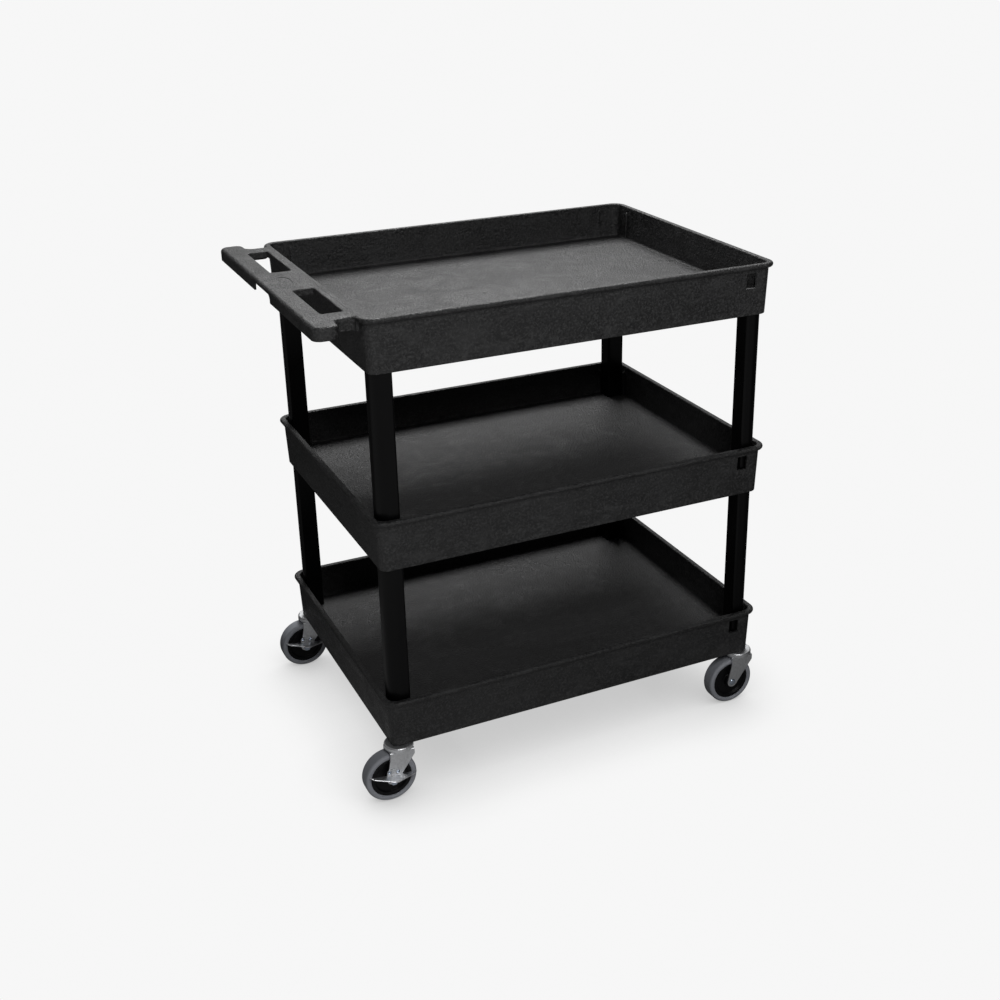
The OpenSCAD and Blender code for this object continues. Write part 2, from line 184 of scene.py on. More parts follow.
def tub_section():
    """Inset and height from the tray floor, over the lip and round the skirt to the floor's underside."""
    floor_fillet, brim_r, foot_r, root_r = 0.005, 0.0025, 0.0019, 0.002
    lean = WALL_DRAFT / tub_h
    roll_r = LIP_H / 2
    floor_in = WALL_IN + lean * TRAY_DEPTH + floor_fillet
    foot_out = LIP_W + WALL_DRAFT
    under_in = WALL_IN + lean * (UNDER + root_r) + root_r
    points = arc((-floor_in, floor_fillet - TRAY_DEPTH), floor_fillet, 270, 360, 7)
    points += arc((-WALL_IN + brim_r, -brim_r), brim_r, 180, 90, 5)
    points += arc((-roll_r, -roll_r), roll_r, 90, -90, 14)
    points += arc((-LIP_W + root_r, -LIP_H - root_r), root_r, 90, 180, 4)
    points += arc((-foot_out - foot_r, -tub_h + foot_r), foot_r, 0, -90, 4)
    points += arc((-FOOT_IN + foot_r, -tub_h + foot_r), foot_r, 270, 180, 4)
    points += arc((-under_in, -UNDER - root_r), root_r, 0, 90, 4)
    return [(-u, z) for u, z in points]


def floor_ribs():
    """Two ribs along the floor and six across it, tapered to leave the mould."""
    root, foot = RIB_T / 2, RIB_T * RIB_TAPER
    top, low = -UNDER + BITE, -UNDER - RIB_H
    reach_x, reach_y = half_l - FOOT_IN + WALL_T / 2, half_w - FOOT_IN + WALL_T / 2
    ribs = []
    for side in (-1, 1):
        y = side * LONG_RIB_Y
        ribs.append(block((low, -reach_x, reach_x, y - foot, y + foot),
                          (top, -reach_x, reach_x, y - root, y + root)))
    for step in (-2.5, -1.5, -0.5, 0.5, 1.5, 2.5):
        x = step * CROSS_RIB_PITCH
        ribs.append(block((low, x - foot, x + foot, -reach_y, reach_y),
                          (top, x - root, x + root, -reach_y, reach_y)))
    return ribs


def post_guides(post_w):
    """Upright guides either side of each post, their tops sloped off towards the wall."""
    from_end = FOOT_IN + POST_GAP + post_w + GUIDE_GAP + RIB_T
    deep = WALL_IN + WALL_DRAFT * TRAY_DEPTH / tub_h + GUIDE_PROUD
    levels = ((-TRAY_DEPTH - BITE, deep), (GUIDE_SLOPE_LOW, deep - GUIDE_LEAN),
              (GUIDE_SLOPE_TOP, WALL_IN - BITE))
    in_wall = LIP_W + 2 * BITE
    guides = []
    for sx, sy in CORNERS.values():
        x, y = half_l - from_end, half_w - from_end
        across = [(z, x, x + RIB_T, half_w - d, half_w - in_wall) for z, d in levels]
        along = [(z, half_l - d, half_l - in_wall, y, y + RIB_T) for z, d in levels]
        guides += [to_corner(block(*across), sx, sy), to_corner(block(*along), sx, sy)]
    return guides


def post_sockets(post_w):
    """Two walls under the floor of each corner that close a socket for the top of a post."""
    inner = FOOT_IN + POST_GAP * 2 + post_w
    walls = []
    for sx, sy in CORNERS.values():
        x, y = half_l - inner - RIB_T, half_w - inner - RIB_T
        far_x, far_y = half_l - FOOT_IN + WALL_T / 2, half_w - FOOT_IN + WALL_T / 2
        low, top = -tub_h + SOCKET_SHORT, -UNDER + BITE
        walls.append(to_corner(block((low, x, x + RIB_T, y, far_y), (top, x, x + RIB_T, y, far_y)), sx, sy))
        walls.append(to_corner(block((low, x, far_x, y, y + RIB_T), (top, x, far_x, y, y + RIB_T)), sx, sy))
    return walls


def disc(x, y, radius, low, top, steps=40):
    ring = [(x + radius * math.cos(t), y + radius * math.sin(t))
            for t in (2 * math.pi * i / steps for i in range(steps))]
    return place("disc", skin("disc", [[Vector((u, v, z)) for u, v in ring] for z in (low, top)]))


def tub(name, post_w, caster_inset=None):
    """One tray with its lip at z 0: with post sockets, or with caster bosses set in from the lip."""
    body = place(name, skin(name, [tub_loop(d, z) for d, z in tub_section()]))
    if caster_inset is None:
        under = post_sockets(post_w)
    else:
        bosses = [(sx * (half_l - caster_inset), sy * (half_w - caster_inset))
                  for sx, sy in CORNERS.values()]
        under = [disc(x, y, BOSS_R, -tub_h + BOSS_SHORT, -UNDER + BITE) for x, y in bosses]
    mould(body, floor_ribs() + post_guides(post_w) + under)
    x = half_l - FOOT_IN - POST_GAP - post_w
    window = (x - WINDOW_L / 2, x + WINDOW_L / 2, -half_w, -half_w + WINDOW_DEPTH)
    cuts = [block((-WINDOW_TOP - WINDOW_H, *window), (-WINDOW_TOP, *window))]
    if caster_inset is not None:
        cuts += [disc(x, y, BOSS_BORE_R, -tub_h - BITE, -UNDER - BITE / 10) for x, y in bosses]
    return mould(body, cuts, "DIFFERENCE")


def new_material(name, roughness, metallic=0.0):
    """A node material, and a function that adds a node to it and wires it."""
    material = bpy.data.materials.new(name)
    material.use_nodes = True
    tree = material.node_tree
    shader = tree.nodes["Principled BSDF"]
    shader.inputs["Roughness"].default_value = roughness
    shader.inputs["Metallic"].default_value = metallic

    def add(kind, inputs=None, **settings):
        node = tree.nodes.new("ShaderNode" + kind)
        for key, value in settings.items():
            setattr(node, key, value)
        for key, value in (inputs or {}).items():
            if isinstance(value, bpy.types.NodeSocket):
                tree.links.new(value, node.inputs[key])
            else:
                node.inputs[key].default_value = value
        return node

    def wire(socket, value):
        tree.links.new(value, shader.inputs[socket])

    return material, shader, add, wire


def blotches(add, where, scale, detail=3.0, stretch=(1, 1, 1), shift=0.0, distortion=0.0):
    """Noise over the piece's own coordinates, stretched along an axis if asked."""
    mapped = add("Mapping", {"Vector": where, "Location": (shift, shift * 1.7, shift * 0.6),
                             "Scale": stretch})
    return add("TexNoise", {"Vector": mapped.outputs["Vector"], "Scale": scale, "Detail": detail,
                            "Roughness": 0.55, "Distortion": distortion}).outputs["Fac"]


def span(add, value, low, high, to_low, to_high):
    """A value moved from one range to another, held at its ends."""
    return add("MapRange", {"Value": value, "From Min": low, "From Max": high,
                            "To Min": to_low, "To Max": to_high}).outputs["Result"]


def blend_colours(add, factor, first, second):
    mix = add("Mix", data_type="RGBA")
    for socket, value in ((mix.inputs[0], factor), (mix.inputs[6], first), (mix.inputs[7], second)):
        if isinstance(value, bpy.types.NodeSocket):
            value.node.id_data.links.new(value, socket)
        else:
            socket.default_value = value
    return mix.outputs[2]


def tub_plastic(name, shift):
    """Black foamed plastic: grainy, softly wavy, and smeared and scuffed a little by handling."""
    material, shader, add, wire = new_material(name, 0.5)
    where = add("TexCoord").outputs["Object"]
    speck = blotches(add, where, 240, 5.0, shift=shift + 1, distortion=0.4)
    ripple = blotches(add, where, 60, 3.0, shift=shift)
    smears = blotches(add, where, 13, 7.0, (1.0, 1.0, 2.2), shift, 1.3)
    clouds = blotches(add, where, 4.0, 4.0, shift=shift, distortion=0.8)
    scuffs = blotches(add, where, 34, 7.0, (0.3, 1.5, 3.0), shift + 3, 1.8)
    dull = blend_colours(add, span(add, clouds, 0.38, 0.62, 0.0, 1.0), (0.0040, 0.0040, 0.0043, 1),
                         (0.0120, 0.0120, 0.0125, 1))
    base = blend_colours(add, span(add, smears, 0.50, 0.72, 0.0, 0.85), dull, (0.0300, 0.0300, 0.0305, 1))
    flecked = blend_colours(add, span(add, speck, 0.47, 0.66, 0.0, 0.75), base, (0.0520, 0.0520, 0.0525, 1))
    wire("Base Color", blend_colours(add, span(add, scuffs, 0.60, 0.74, 0.0, 0.5), flecked,
                                     (0.0560, 0.0560, 0.0570, 1)))
    broad, close = span(add, smears, 0.32, 0.68, 0.40, 0.68), span(add, speck, 0.35, 0.65, -0.12, 0.14)
    sheen = add("Math", {0: broad, 1: close}, operation="ADD")
    wire("Roughness", sheen.outputs[0])
    waves = add("Bump", {"Height": ripple, "Strength": 0.6, "Distance": 0.0024})
    pits = add("Bump", {"Height": speck, "Strength": 1.0, "Distance": 0.0028,
                        "Normal": waves.outputs["Normal"]})
    wire("Normal", pits.outputs["Normal"])
    shader.inputs["Specular IOR Level"].default_value = 0.5
    return material


post_low, post_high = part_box("upper_leg_front_left")
post_w = post_high.x - post_low.x
race_low, race_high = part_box("upper_race_front_left")
caster_inset = (race_low.x + race_high.x) / 2 - (tub_centre.x - half_l)

for part, inset, shift in (("middle", None, 4.0), ("bottom", caster_inset, 9.0)):
    shelf = tub(part + "_tub", post_w, inset)
    finish_mesh(shelf, tub_plastic(part + "_tub_plastic", shift))
    shelf.location = (tub_centre.x, tub_centre.y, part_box(part + "_shelf")[1].z)
    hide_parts(part + "_shelf")
    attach(shelf, "cart")


# ------------------------------------------------- Top shelf with its push handle
# The same tub with a push handle moulded on one end: a plate level with the lip,
# two hand slots with short collars, and a skirt that follows the plate's outline
# and stops either side of a gap in the middle. Its outer edges are well rounded.

REACH = 0.082
EAR_Y = half_w + 0.004
NECK_Y = half_w - 0.035
EAR_L = 0.046
EAR_R = 0.016
NECK_R = 0.014
ROOT_R = 0.007
PLATE_Z = -0.0004
PLATE_T = 0.006
EDGE_R = 0.007
SKIRT_H = 0.024
SKIRT_T = 0.004
SKIRT_FOOT_R = 0.0012
UNDER_PLATE_R = 0.0015
PLATE_ROOT = 0.0106
HOLLOW_ROOT = 0.0092
SKIRT_GAP = 0.052
GAP_R = 0.010
GAP_UNDER_EDGE = 0.0012
SLOT_X = -0.026
SLOT_Y = 0.150
SLOT_HALF = (0.019, 0.082)
SLOT_R = 0.005
SLOT_RIM_R = 0.0026
COLLAR_H = 0.012
COLLAR_T = 0.003
COLLAR_FOOT_R = 0.0008
PAD_X = -0.040
PAD_HALF = (0.0125, 0.029)
PAD_DEPTH = 0.0007
PAD_SIDES = 64


def handle_loop(inset, root, z):
    """The handle's outline set in by an inset, its root ending that far inside the lip."""
    ear_in, ear_out, ear_y = EAR_L - REACH - EAR_R, EAR_R - REACH, EAR_Y - EAR_R
    half = [(root, NECK_Y + ROOT_R)]
    half += arc((-ROOT_R, NECK_Y + ROOT_R), ROOT_R + inset, 360, 270, 6)
    half += arc((EAR_L - REACH + NECK_R, NECK_Y + NECK_R), NECK_R + inset, 270, 180, 10)
    half += arc((ear_in, ear_y), EAR_R - inset, 0, 90, 12)
    half += arc((ear_out, ear_y), EAR_R - inset, 90, 180, 12)
    outline = half + [(x, -y) for x, y in reversed(half)]
    return [Vector((x - half_l, y, z)) for x, y in outline]


def handle_body():
    edge = arc((EDGE_R, PLATE_Z - EDGE_R), EDGE_R, 90, 180, 10)
    foot = arc((SKIRT_FOOT_R, -SKIRT_H + SKIRT_FOOT_R), SKIRT_FOOT_R, 180, 270, 4)
    return place("handle", skin("handle", [handle_loop(d, PLATE_ROOT, z) for d, z in edge + foot]))


def handle_hollow():
    """The open channel under the plate, which runs back to the tub's wall."""
    inside = [(SKIRT_T - SKIRT_FOOT_R, -SKIRT_H - BITE)]
    inside += arc((SKIRT_T - SKIRT_FOOT_R, -SKIRT_H + SKIRT_FOOT_R), SKIRT_FOOT_R, 270, 360, 4)
    inside += arc((SKIRT_T + UNDER_PLATE_R, PLATE_Z - PLATE_T - UNDER_PLATE_R), UNDER_PLATE_R, 180, 90, 4)
    return place("hollow", skin("hollow", [handle_loop(d, HOLLOW_ROOT, z) for d, z in inside]))


def slot_loops(side, section):
    return [rounded_loop((SLOT_X - half_l, side * SLOT_Y), (SLOT_HALF[0] + g, SLOT_HALF[1] + g),
                         [SLOT_R + g] * 4, z, 8) for g, z in section]


def slot_collar(side):
    foot = arc((COLLAR_T - COLLAR_FOOT_R, -COLLAR_H + COLLAR_FOOT_R), COLLAR_FOOT_R, 270, 360, 3)
    return place("collar", skin("collar", slot_loops(side, foot + [(COLLAR_T, -PLATE_T + BITE)])))


def slot_cut(side):
    rim = arc((SLOT_RIM_R, PLATE_Z - SLOT_RIM_R), SLOT_RIM_R, 90, 180, 7)
    section = [(SLOT_RIM_R, 2 * BITE)] + rim + [(0.0, -SKIRT_H - 2 * BITE)]
    return place("slot", skin("slot", slot_loops(side, section)))


def skirt_gap_cut():
    y, top, low = SKIRT_GAP, -EDGE_R - GAP_UNDER_EDGE, -SKIRT_H - 2 * BITE
    arch = [(-y, low), (y, low)]
    arch += arc((y - GAP_R, top - GAP_R), GAP_R, 0, 90, 8)
    arch += arc((GAP_R - y, top - GAP_R), GAP_R, 90, 180, 8)
    ends = (-REACH - BITE - half_l, -REACH + SKIRT_T + BITE / 2 - half_l)
    return place("gap", skin("gap", [[Vector((x, v, z)) for v, z in arch] for x in ends]))


def grip_pad_cut():
    """A shallow plain oval sunk in the web between the slots."""
    loops = []
    turns = [2 * math.pi * i / PAD_SIDES for i in range(PAD_SIDES)]
    for grow, z in ((0.0, PLATE_Z - PAD_DEPTH), (PAD_DEPTH, PLATE_Z), (1.7 * PAD_DEPTH, PLATE_Z + BITE)):
        loops.append([Vector((PAD_X - half_l + (PAD_HALF[0] + grow) * math.cos(t),
                              (PAD_HALF[1] + grow) * math.sin(t), z)) for t in turns])
    return place("pad", skin("pad", loops))


top_shelf = tub("top_tub_and_handle", post_w)
handle = mould(handle_body(), [handle_hollow(), skirt_gap_cut()], "DIFFERENCE")
mould(handle, [slot_collar(-1), slot_collar(1)])
mould(handle, [slot_cut(-1), slot_cut(1), grip_pad_cut()], "DIFFERENCE")
mould(top_shelf, [handle])
finish_mesh(top_shelf, tub_plastic("top_tub_plastic", 0.0))
top_shelf.location = (tub_centre.x, tub_centre.y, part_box("top_shelf")[1].z)
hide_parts("top_shelf")
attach(top_shelf, "cart")


# ---------------------------------------------------------------------- Posts
# Eight square tubes of black plastic, drawn smooth and a little glossier than
# the tubs. The corner that faces out of the cart is rounded far more than the rest.

POST_WALL = 0.003
POST_OUTER_R = 0.0239
POST_SMALL_R = 0.005


def post_plastic():
    """Smooth black plastic with faint lengthwise draw lines."""
    material, shader, add, wire = new_material("post_plastic", 0.42)
    where = add("TexCoord").outputs["Object"]
    draw = blotches(add, where, 60, 3.0, (6, 6, 0.25))
    haze = blotches(add, where, 7, 3.0, distortion=0.6)
    wire("Base Color", blend_colours(add, haze, (0.0010, 0.0010, 0.0012, 1), (0.0028, 0.0028, 0.0030, 1)))
    wire("Roughness", span(add, haze, 0.3, 0.7, 0.26, 0.38))
    bump = add("Bump", {"Height": draw, "Strength": 0.2, "Distance": 0.0003})
    wire("Normal", bump.outputs["Normal"])
    shader.inputs["Specular IOR Level"].default_value = 0.12
    return material


black_post = post_plastic()
for tier in ("upper", "lower"):
    for tag, (sx, sy) in CORNERS.items():
        node = "%s_leg_%s" % (tier, tag)
        low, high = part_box(node)
        half = ((high.x - low.x) / 2, (high.y - low.y) / 2)
        outward = {(1, 1): 0, (-1, 1): 1, (-1, -1): 2, (1, -1): 3}[(sx, sy)]
        sizes = [POST_OUTER_R if turn == outward else POST_SMALL_R for turn in range(4)]
        outside = [rounded_loop((0, 0), half, sizes, z, 16) for z in (0, high.z - low.z)]
        bore = (half[0] - POST_WALL, half[1] - POST_WALL)
        inside = [rounded_loop((0, 0), bore, [r - POST_WALL for r in sizes], z, 16)
                  for z in (high.z - low.z, 0)]
        post = place("post_%s_%s" % (tier, tag), skin("post", outside + inside, closed=True),
                     Matrix.Translation(((low.x + high.x) / 2, (low.y + high.y) / 2, low.z)))
        finish_mesh(post, black_post)
        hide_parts(node)
        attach(post, "cart")


# ------------------------------------------------------------- Swivel bearings
# Each caster hangs on a plated stem in a grey nylon sleeve. A stamped cap turns
# down over a ring of steel balls that run on the fork's own raised cup.

RACE_R = 0.028
RACE_LIP_T = 0.0017
RACE_LIP_H = 0.0039
RACE_T = 0.0045
KINGPIN_R = 0.00404
RACE_CROWN_R = 0.0032
RACE_INNER_R = 0.0012
BRIM_INNER_R = 0.0008
BRIM_OUTER_R = 0.0005


def lathe(name, profile, closed=True, steps=96):
    """A turned solid about Z from (radius, height) points: a ring if closed, a solid bar if not."""
    turns = [2 * math.pi * i / steps for i in range(steps)]
    loops = [[Vector((r * math.cos(t), r * math.sin(t), h)) for t in turns] for r, h in profile]
    return skin(name, loops, closed)


def plated_steel(name, tint, rough, depth):
    """Zinc plate: a cloudy bright coat, faint rolling lines and the odd dull patch."""
    material, shader, add, wire = new_material(name, rough, 1.0)
    where = add("TexCoord").outputs["Object"]
    haze = blotches(add, where, 120, 4.0, distortion=1.2)
    spots = blotches(add, where, 420, 3.0)
    lines = blotches(add, where, 260, 4.0, (0.15, 1, 4))
    worn = [c * 0.80 for c in tint]
    wire("Base Color", blend_colours(add, span(add, haze, 0.35, 0.7, 0, 1), (*tint, 1), (*worn, 1)))
    wire("Roughness", span(add, spots, 0.3, 0.7, rough - 0.07, rough + 0.10))
    bump = add("Bump", {"Height": lines, "Strength": 0.25, "Distance": depth})
    wire("Normal", bump.outputs["Normal"])
    return material


def nylon():
    material, shader, add, wire = new_material("grey_nylon", 0.5)
    where = add("TexCoord").outputs["Object"]
    haze = blotches(add, where, 90, 3.0)
    wire("Base Color", blend_colours(add, haze, (0.17, 0.17, 0.175, 1), (0.24, 0.24, 0.245, 1)))
    bump = add("Bump", {"Height": haze, "Strength": 0.2, "Distance": 0.0002})
    wire("Normal", bump.outputs["Normal"])
    return material


plate_zinc = plated_steel("plate_zinc", (0.86, 0.87, 0.89), 0.38, 0.00012)
ball_steel = plated_steel("ball_steel", (0.62, 0.62, 0.63), 0.16, 0.00002)
grey_nylon = nylon()
race_cap = None
for tag in CORNERS:
    low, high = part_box("upper_race_" + tag)
    if race_cap is None:
        ceiling = high.z - RACE_T
        brim = ceiling - RACE_LIP_H
        inside_r = RACE_R - RACE_LIP_T
        profile = [(KINGPIN_R, ceiling)]
        profile += arc((inside_r - RACE_INNER_R, ceiling - RACE_INNER_R), RACE_INNER_R, 90, 0, 4)
        profile += arc((inside_r + BRIM_INNER_R, brim + BRIM_INNER_R), BRIM_INNER_R, 180, 270, 4)
        profile += arc((RACE_R - BRIM_OUTER_R, brim + BRIM_OUTER_R), BRIM_OUTER_R, 270, 360, 3)
        profile += arc((RACE_R - RACE_CROWN_R, high.z - RACE_CROWN_R), RACE_CROWN_R, 0, 90, 8)
        profile += [(KINGPIN_R, high.z)]
        race_cap = lathe("race_cap", profile)
    cap = place("swivel_cap_" + tag, race_cap,
                Matrix.Translation(((low.x + high.x) / 2, (low.y + high.y) / 2, 0)))
    finish_mesh(cap, plate_zinc)
    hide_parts("upper_race_" + tag)
    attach(cap, "cart")
    for node, material in (("stem_", plate_zinc), ("hub_tube_", plate_zinc),
                           ("ball_ring_", ball_steel), ("stem_socket_", grey_nylon)):
        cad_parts[node + tag].material_slots[0].material = material


# ---------------------------------------------------------------- Caster forks
# A blank of zinc-plated sheet steel bent down on both sides of the wheel. Its
# crown is pressed up into a round cup for the balls, and the legs run in from
# the crown's shoulders to a round toe at the axle.

SHEET_T = 0.0026
CUP_R = 0.0252
CUP_T = 0.0018
CUP_H = 0.0035
TOP_HALF = 0.024
SHOULDER = 0.009
SHOULDER_R = 0.004
TOE_R = 0.011
BEND_R = 0.0042
PIN_BORE_R = 0.00408
BORE_PAST = 0.01
CUTTER_HALF = 0.05
CUP_EDGE_R = 0.0006
HAIR = 0.00001

wheel_low, wheel_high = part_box("tyre_front_left")
wheel_r = (wheel_high.z - wheel_low.z) / 2 - HAIR
axle_z = (wheel_low.z + wheel_high.z) / 2
crown_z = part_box("fork_front_left")[1].z - CUP_H - SHEET_T
trail = (race_low.x + race_high.x) / 2 - (wheel_low.x + wheel_high.x) / 2
swivel = {tag: Vector((tub_centre.x + sx * (half_l - caster_inset),
                       tub_centre.y + sy * (half_w - caster_inset), 0))
          for tag, (sx, sy) in CORNERS.items()}
PEDAL_GAP = 0.0003
fork_out = swivel["front_left"].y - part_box("brake_pedal_front_left")[1].y - PEDAL_GAP


def bent_sheet():
    """The blank folded into a channel, as a solid that runs along X."""
    top, half, low = crown_z + SHEET_T, fork_out, axle_z - TOE_R - BITE
    inner = BEND_R - SHEET_T
    path = [(half, low)] + arc((half - BEND_R, top - BEND_R), BEND_R, 0, 90, 8)
    path += arc((BEND_R - half, top - BEND_R), BEND_R, 90, 180, 8) + [(-half, low)]
    path += [(SHEET_T - half, low)] + arc((BEND_R - half, top - BEND_R), inner, 180, 90, 6)
    path += arc((half - BEND_R, top - BEND_R), inner, 90, 0, 6) + [(half - SHEET_T, low)]
    loops = [[Vector((x, y, z)) for y, z in path] for x in (-CUTTER_HALF, CUTTER_HALF)]
    return place("sheet", skin("sheet", loops))


def touch_angle(point, centre, radius, side):
    """Where a line from a point touches a circle, in degrees."""
    dx, dz = point[0] - centre[0], point[1] - centre[1]
    return math.degrees(math.atan2(dz, dx) + side * math.acos(radius / math.hypot(dx, dz)))


def leg_outline():
    """The leg seen from the side, as a solid that runs across the wheel."""
    hub, shoulder_z = (-trail, axle_z), crown_z - SHOULDER
    front, rear = (TOP_HALF, shoulder_z), (-TOP_HALF, shoulder_z)
    toe = arc(hub, TOE_R, touch_angle(front, hub, TOE_R, -1), touch_angle(rear, hub, TOE_R, 1) - 360, 28)
    top = crown_z + SHEET_T + BITE
    side = [(TOP_HALF, top)] + arc((TOP_HALF - SHOULDER_R, shoulder_z + BITE), SHOULDER_R, 0, -28, 4) + toe
    side += arc((SHOULDER_R - TOP_HALF, shoulder_z + BITE), SHOULDER_R, 188, 180, 2) + [(-TOP_HALF, top)]
    loops = [[Vector((x, y, z)) for x, z in side] for y in (-CUTTER_HALF, CUTTER_HALF)]
    return place("outline", skin("outline", loops))


def cross_bore(radius):
    """A round cutter along the axle."""
    bore = disc(0, 0, radius, -CUTTER_HALF, CUTTER_HALF, 48)
    bore.data.transform(Matrix.Translation((-trail, 0, axle_z)) @ Matrix.Rotation(math.pi / 2, 4, "X"))
    return bore


def fork_mesh():
    fork = mould(bent_sheet(), [leg_outline()], "INTERSECT")
    seat, rim = crown_z + SHEET_T, crown_z + SHEET_T + CUP_H
    cup = arc((CUP_R - CUP_EDGE_R, crown_z + CUP_EDGE_R), CUP_EDGE_R, 270, 360, 3)
    cup += arc((CUP_R - CUP_EDGE_R, rim - CUP_EDGE_R), CUP_EDGE_R, 0, 90, 4)
    cup += [(CUP_R - CUP_T, rim), (CUP_R - CUP_T, seat), (PIN_BORE_R, seat), (PIN_BORE_R, crown_z)]
    mould(fork, [place("cup", lathe("cup", cup))])
    pin_bore = disc(0, 0, PIN_BORE_R, crown_z - BORE_PAST, crown_z + BORE_PAST)
    mould(fork, [cross_bore(PIN_BORE_R), pin_bore], "DIFFERENCE")
    mesh = fork.data
    bpy.data.objects.remove(fork)
    return mesh


fork_sheet = fork_mesh()
for tag in CORNERS:
    fork = place("fork_plate_" + tag, fork_sheet, Matrix.Translation(swivel[tag]))
    finish_mesh(fork, plate_zinc)
    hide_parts("fork_" + tag)
    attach(fork, "caster_" + tag)


# --------------------------------------------------------------------- Wheels
# A black plastic core with a dished face and a deep hub, and a blue-grey soft
# rubber tyre moulded round it with a parting line round the middle of its tread.

CORE_R = 0.0402
CORE_BORE_R = 0.00608
HUB_R = 0.013
HUB_HALF = 0.0172
CORE_HALF = 0.0125
WEB_HALF = 0.0085
CORE_RIM_IN = 0.0332
TYRE_SHOULDER = 0.006
BEAD_HALF = 0.013
HUB_EDGE_R = 0.0008
WEB_FILLET_R = 0.002
RIM_EDGE_R = 0.0012
BEAD_STEP = 0.0004
RIM_LAND_R = 0.0383
LIP_R = 0.0008
tyre_half = (wheel_high.y - wheel_low.y) / 2


def mirrored(half_profile):
    """A section given for one side of the wheel, taken round to the other."""
    return half_profile + [(r, -h) for r, h in reversed(half_profile)]


def core_profile():
    """Hub face, dished web, rim and the step that the tyre's bead sits on."""
    fillet_z = WEB_HALF + WEB_FILLET_R
    face = [(CORE_BORE_R, HUB_HALF)]
    face += arc((HUB_R - HUB_EDGE_R, HUB_HALF - HUB_EDGE_R), HUB_EDGE_R, 90, 0, 4)
    face += arc((HUB_R + 1.3 * WEB_FILLET_R, fillet_z), WEB_FILLET_R, 200, 270, 4)
    face += arc((CORE_RIM_IN - 1.5 * WEB_FILLET_R, fillet_z), WEB_FILLET_R, 270, 340, 4)
    face += arc((CORE_RIM_IN + RIM_EDGE_R, CORE_HALF - RIM_EDGE_R), RIM_EDGE_R, 160, 90, 4)
    step = CORE_HALF - BEAD_STEP
    face += [(RIM_LAND_R, CORE_HALF), (RIM_LAND_R + 0.0003, step), (CORE_R, step)]
    return mirrored(face)


def tyre_profile():
    """Bead, a small lip against the core, the rounded side wall, and a tread with its parting line."""
    side_r = wheel_r - TYRE_SHOULDER
    wall = [(CORE_R + 0.00005, BEAD_HALF - BEAD_STEP)]
    wall += arc((CORE_R + 0.0009, BEAD_HALF), LIP_R, 180, 90, 3)
    wall += [(CORE_R + 0.0022, BEAD_HALF + 0.0010), (CORE_R + 0.0026, BEAD_HALF + 0.0016)]
    wall += arc((side_r, tyre_half - TYRE_SHOULDER), TYRE_SHOULDER, 90, 12, 12)
    tread = wheel_r - 0.00006
    wall += [(wheel_r - 0.00012, 0.0070), (tread, 0.0020), (tread, 0.0005), (wheel_r, 0.0003)]
    return mirrored(wall)


def core_plastic():
    """Black moulded plastic with a slight cloud to its gloss."""
    material, shader, add, wire = new_material("core_plastic", 0.4)
    where = add("TexCoord").outputs["Object"]
    haze = blotches(add, where, 75, 4.0, distortion=0.8)
    wire("Base Color", blend_colours(add, haze, (0.002, 0.002, 0.0023, 1), (0.006, 0.006, 0.007, 1)))
    wire("Roughness", span(add, haze, 0.3, 0.7, 0.30, 0.48))
    shader.inputs["Specular IOR Level"].default_value = 0.2
    bump = add("Bump", {"Height": haze, "Strength": 0.2, "Distance": 0.0003})
    wire("Normal", bump.outputs["Normal"])
    return material


def tyre_rubber():
    """Blue-grey rubber, scuffed darker round the tread than on the side walls."""
    material, shader, add, wire = new_material("tyre_rubber", 0.6)
    where = add("TexCoord").outputs["Object"]
    haze = blotches(add, where, 60, 5.0, distortion=1.0)
    grain = blotches(add, where, 1500, 2.0)
    axes = add("SeparateXYZ", {"Vector": where})
    squares = [add("Math", {0: axes.outputs[k], 1: axes.outputs[k]}, operation="MULTIPLY") for k in "XY"]
    total = add("Math", {0: squares[0].outputs[0], 1: squares[1].outputs[0]}, operation="ADD")
    radius = add("Math", {0: total.outputs[0]}, operation="SQRT").outputs[0]
    tread = span(add, radius, wheel_r - 0.0032, wheel_r - 0.0004, 0.0, 1.0)
    side = blend_colours(add, haze, (0.300, 0.312, 0.345, 1), (0.370, 0.382, 0.415, 1))
    wire("Base Color", blend_colours(add, tread, side, (0.240, 0.250, 0.275, 1)))
    wire("Roughness", span(add, haze, 0.3, 0.7, 0.52, 0.68))
    bump = add("Bump", {"Height": grain, "Strength": 0.25, "Distance": 0.0002})
    wire("Normal", bump.outputs["Normal"])
    return material


core_mesh = lathe("core", core_profile())
tyre_mesh = lathe("tyre", tyre_profile(), steps=128)
black_core = core_plastic()
grey_tyre = tyre_rubber()
out_of_wheel = Matrix.Translation((-trail, 0, axle_z)) @ Matrix.Rotation(math.pi / 2, 4, "X")
wheel_pieces = (("wheel_disc_", core_mesh, black_core, "wheel_core_", "wheel_core"),
                ("rubber_tyre_", tyre_mesh, grey_tyre, "tyre_", "tyre"))
for tag in CORNERS:
    for name, mesh, material, node, slot in wheel_pieces:
        piece = place(name + tag, mesh, Matrix.Translation(swivel[tag]) @ out_of_wheel)
        finish_mesh(piece, material)
        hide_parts(node + tag)
        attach(piece, "wheel_" + tag)


# ---------------------------------------------------------------- Axle fasteners
# A bright blue-white zinc bolt through each hub. On the casters at the handle
# end its nut faces the pedal over a washer; on the other two the nut is behind
# and only the low round head shows.

